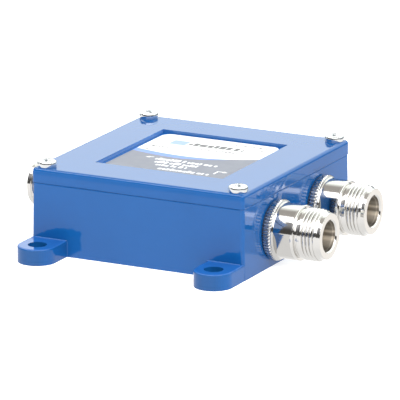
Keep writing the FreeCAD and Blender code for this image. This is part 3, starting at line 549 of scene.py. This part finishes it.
# ---------------------------------------------------------------- label: fields of colour and plain bars
def label_material():
    t = Tree("label_print")
    sep = t.node("ShaderNodeSeparateXYZ", None, Vector=t.coord.outputs["Object"])
    x = t.math("MULTIPLY", sep.outputs[0], 1000.0)
    y = t.math("MULTIPLY", sep.outputs[1], 1000.0)
    x1 = t.math("ADD", x, 2.6)
    top = t.math("MULTIPLY_ADD", t.math("MULTIPLY", x1, x1), 0.0105, -0.65)
    top = t.math("ADD", top, t.math("MULTIPLY", t.math("MULTIPLY", t.math("MULTIPLY", x1, x1), x1), 0.000085))
    wide = t.math("MULTIPLY", t.math("POWER", t.maprange(x, 12.5, -2.0, 0.0, 1.0), 0.8), 2.95)
    in_white = t.math("GREATER_THAN", y, top)
    in_grey = t.math("LESS_THAN", y, t.math("SUBTRACT", top, wide))
    n = t.noise(260.0, 3.0, 0.55)
    white = t.mix(n, rgb(0.83, 0.835, 0.84), rgb(0.86, 0.865, 0.87))
    grey = t.mix(n, rgb(0.164, 0.173, 0.216), rgb(0.174, 0.183, 0.226))
    stripe = rgb(0.15, 0.26, 0.74)
    col = t.mix(in_grey, t.mix(in_white, stripe, white), grey)
    t.set(Base_Color=col, Roughness=t.maprange(n, 0.3, 0.7, 0.30, 0.38), IOR=1.45)
    t.bsdf.inputs["Specular IOR Level"].default_value = 0.28
    t.set(Normal=t.bump(t.noise(1500.0, 2.0, 0.5), 0.04, 0.00002))
    return t.mat


NODES["label"].data.materials.clear()
NODES["label"].data.materials.append(label_material())


def print_bars(name, mat, rows):
    """Flat dashes that stand in for lines of print: (x0, x1, y, height, wide, gap) each."""
    rng = np.random.RandomState(7)
    z0, z1 = 25.5905, 25.606
    verts, faces = [], []

    def prism(pts):
        k = len(verts)
        m = len(pts)
        for zz in (z0, z1):
            for px, py in pts:
                verts.append((px * MM, py * MM, zz * MM))
        faces.append(tuple(range(k, k + m))[::-1])
        faces.append(tuple(range(k + m, k + 2 * m)))
        for q in range(m):
            faces.append((k + q, k + (q + 1) % m, k + m + (q + 1) % m, k + m + q))

    def block(xa, xb, ya, yb):
        c = min(0.16, (xb - xa) * 0.3, (yb - ya) * 0.3)
        prism([(xa + c, ya), (xb - c, ya), (xb, ya + c), (xb, yb - c), (xb - c, yb), (xa + c, yb), (xa, yb - c), (xa, ya + c)])

    for row in rows:
        if row[0] == "poly":
            prism(row[1])
            continue
        xa, xb, yc, hh, wide, gap = row
        x = xa
        run = 0
        while x < xb:
            w = wide * rng.uniform(0.55, 1.35)
            w = min(w, xb - x)
            if w < 0.12:
                break
            tall = hh * rng.choice([0.66, 0.66, 0.8, 1.0])
            block(x, x + w, yc - hh / 2, yc - hh / 2 + tall)
            run += 1
            x += w + gap * (1.0 if run % rng.randint(4, 8) else 3.2)
    me_faces = faces
    ob = add_object(name, verts, me_faces, [mat], 20.0)
    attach(ob, "root")
    return ob


def arrow(x0, y0, x1, y1, w, head):
    """A straight arrow as two outlines."""
    dx, dy = x1 - x0, y1 - y0
    ln = math.hypot(dx, dy)
    ux, uy = dx / ln, dy / ln
    nx, ny = -uy, ux
    bx, by = x1 - ux * head, y1 - uy * head
    stem = [(x0 - nx * w, y0 - ny * w), (bx - nx * w, by - ny * w), (bx + nx * w, by + ny * w), (x0 + nx * w, y0 + ny * w)]
    tip = [(bx - nx * head * 0.55, by - ny * head * 0.55), (x1, y1), (bx + nx * head * 0.55, by + ny * head * 0.55)]
    return [("poly", stem), ("poly", tip)]


INK = plastic("ink_grey", (0.085, 0.085, 0.09), (0.11, 0.11, 0.115), 0.4)
PALE_INK = plastic("ink_white", (0.84, 0.85, 0.86), (0.88, 0.89, 0.90), 0.4)
SKY_INK = plastic("ink_sky", (0.24, 0.35, 0.74), (0.27, 0.38, 0.76), 0.4)
print_bars("label_dark_bars", INK, [(-7.5, 11.2, 13.2, 3.2, 1.9, 0.34), (-3.3, 10.8, 9.0, 1.2, 0.95, 0.30),
                                    (-17.2, -11.6, 6.6, 1.6, 0.8, 0.32), (5.8, 16.8, 18.2, 1.4, 0.7, 0.42)]
           + arrow(-14.1, 3.2, -17.9, 2.4, 0.16, 1.3) + arrow(13.6, 14.6, 17.3, 15.3, 0.16, 1.3))
print_bars("label_pale_bars", PALE_INK, [(-8.8, 12.2, -6.9, 2.3, 1.0, 0.30), (-7.4, 7.0, -10.1, 2.2, 0.95, 0.28),
                                         (-5.6, 4.8, -13.0, 2.0, 0.9, 0.28), (-2.9, 14.4, -16.7, 2.2, 1.0, 0.30)]
           + arrow(-10.2, -5.6, -12.7, -6.4, 0.22, 1.3)
           + [("poly", [(14.9, -15.4), (15.4, -15.4), (15.4, -12.4), (14.9, -12.4)])] + arrow(14.9, -12.4, 18.4, -12.6, 0.22, 1.4))
print_bars("label_sky_bar", SKY_INK, [("poly", [(-13.3, 10.6), (-8.6, 10.6), (-8.2, 11.0), (-8.2, 15.0), (-8.6, 15.4),
                                                (-13.3, 15.4), (-13.7, 15.0), (-13.7, 11.0)])])

# ---------------------------------------------------------------- floor, light, camera
def world():
    w = bpy.data.worlds.new("studio")
    SC.world = w
    w.use_nodes = True
    t = w.node_tree
    t.nodes.clear()
    out = t.nodes.new("ShaderNodeOutputWorld")
    bg = t.nodes.new("ShaderNodeBackground")
    tc = t.nodes.new("ShaderNodeTexCoord")
    sep = t.nodes.new("ShaderNodeSeparateXYZ")
    t.links.new(tc.outputs["Generated"], sep.inputs[0])
    asin = t.nodes.new("ShaderNodeMath")
    asin.operation = "ARCSINE"
    t.links.new(sep.outputs[2], asin.inputs[0])
    fac = t.nodes.new("ShaderNodeMapRange")
    fac.inputs[1].default_value, fac.inputs[2].default_value = -math.pi / 2, math.pi / 2
    t.links.new(asin.outputs[0], fac.inputs[0])

    def ramp(stops):
        r = t.nodes.new("ShaderNodeValToRGB")
        r.color_ramp.interpolation = "LINEAR"
        e = r.color_ramp.elements
        while len(e) > 1:
            e.remove(e[-1])
        for i, (deg, c) in enumerate(stops):
            p = (deg + 90.0) / 180.0
            el = e[0] if i == 0 else e.new(p)
            el.position = p
            el.color = tuple(v / 8.0 for v in c) + (1.0,)
        t.links.new(fac.outputs[0], r.inputs[0])
        return r

    DK = (0.088, 0.085, 0.082)
    KEY = (5.0, 5.0, 5.0)
    SIDE = (2.6, 2.6, 2.6)
    GREY = (0.57, 0.545, 0.51)
    BACK = (1.69, 1.78, 1.71)
    F1, F2, F3 = (1.17, 1.165, 1.16), (1.10, 1.095, 1.09), (0.99, 0.99, 0.985)
    FB = (1.21, 1.17, 1.12)
    low = [(-90, F3), (-60, F3), (-38, F2), (-14, F1)]
    left = ramp(low + [(1.0, F1), (2.2, DK), (18.0, DK), (24.0, (0.17, 0.17, 0.18)), (34.0, (0.38, 0.38, 0.39)),
                       (45.0, (0.46, 0.46, 0.47)), (49.0, KEY), (59.5, KEY), (62.6, GREY), (90.0, GREY)])
    right = ramp(low + [(1.0, F1), (2.2, DK), (18.2, DK), (19.6, SIDE), (46.0, SIDE), (50.0, KEY), (59.0, KEY), (63.0, GREY), (90.0, GREY)])
    edge = (0.22, 0.24, 0.28)
    back = ramp(low[:3] + [(-14, FB), (-11.5, FB), (-10.0, edge), (6.0, edge), (10.0, BACK), (50.0, BACK), (61.5, GREY),
                          (90.0, GREY)])

    rear = ramp(low[:3] + [(-15.5, FB), (-13.0, edge), (6.0, edge), (10.0, BACK), (50.0, BACK), (61.5, GREY), (90.0, GREY)])

    def blend(axis, lo, hi, c0, c1):
        k = t.nodes.new("ShaderNodeMapRange")
        k.interpolation_type = "SMOOTHSTEP"
        k.inputs[1].default_value, k.inputs[2].default_value = lo, hi
        t.links.new(sep.outputs[axis], k.inputs[0])
        m = t.nodes.new("ShaderNodeMix")
        m.data_type = "RGBA"
        t.links.new(k.outputs[0], m.inputs[0])
        t.links.new(c0, m.inputs[6])
        t.links.new(c1, m.inputs[7])
        return m

    front = blend(0, -0.30, 0.05, left.outputs[0], right.outputs[0])
    behind = blend(0, -0.15, 0.15, rear.outputs[0], back.outputs[0])
    mix = blend(1, -0.10, 0.10, front.outputs[2], behind.outputs[2])
    t.links.new(mix.outputs[2], bg.inputs[0])
    bg.inputs[1].default_value = 8.0
    t.links.new(bg.outputs[0], out.inputs[0])


def floor():
    me = bpy.data.meshes.new("floor")
    bm = bmesh.new()
    bmesh.ops.create_circle(bm, cap_ends=True, segments=96, radius=4.0)
    bm.to_mesh(me)
    bm.free()
    o = bpy.data.objects.new("floor", me)
    SC.collection.objects.link(o)
    t = Tree("floor_white")
    n = t.noise(25.0, 2.0, 0.5)
    t.set(Base_Color=t.mix(n, rgb(0.80, 0.80, 0.80), rgb(0.82, 0.82, 0.82)), Roughness=1.0,
          Emission_Color=rgb(1.0, 1.0, 1.0), Emission_Strength=0.46)
    t.bsdf.inputs["Specular IOR Level"].default_value = 0.0
    # seen from below it is clear, so that the case's sole shows
    nt = t.mat.node_tree
    geo, clear, both = (nt.nodes.new(k) for k in ("ShaderNodeNewGeometry", "ShaderNodeBsdfTransparent", "ShaderNodeMixShader"))
    surf = next(q for q in nt.nodes if q.type == "OUTPUT_MATERIAL").inputs["Surface"]
    nt.links.new(geo.outputs["Backfacing"], both.inputs[0])
    nt.links.new(t.bsdf.outputs[0], both.inputs[1])
    nt.links.new(clear.outputs[0], both.inputs[2])
    nt.links.new(both.outputs[0], surf)
    me.materials.append(t.mat)
    o.location.z = -0.00001
    o.visible_glossy = False
    return o


def camera():
    cam = bpy.data.cameras.new("camera")
    o = bpy.data.objects.new("camera", cam)
    SC.collection.objects.link(o)
    right = Vector((0.89081, 0.45438, -0.00172)).normalized()
    back = Vector((0.43851, -0.85870, 0.26521)).normalized()
    up = back.cross(right).normalized()
    right = up.cross(back).normalized()
    loc = (right * 2.3441 + up * 11.3530 + back * 1451.54) * MM
    m = Matrix((right, up, back)).transposed().to_4x4()
    m.translation = loc
    o.matrix_world = m
    cam.sensor_width = 36.0
    cam.lens = 4721.39 * 36.0 / 400.0
    cam.clip_start, cam.clip_end = 0.05, 20.0
    SC.camera = o


def overhead():
    """Broad soft light from above that mirrors don't see."""
    li = bpy.data.lights.new("overhead", "SUN")
    li.energy = 1.1
    li.use_shadow = False
    li.angle = math.radians(70.0)
    o = bpy.data.objects.new("overhead", li)
    o.rotation_euler = (math.radians(22.0), math.radians(4.0), 0.0)
    o.location = (0.0, 0.0, 1.0)
    o.visible_glossy = False
    SC.collection.objects.link(o)


world()
floor()
overhead()
camera()
SC.view_settings.view_transform = "Standard"
SC.view_settings.look = "None"
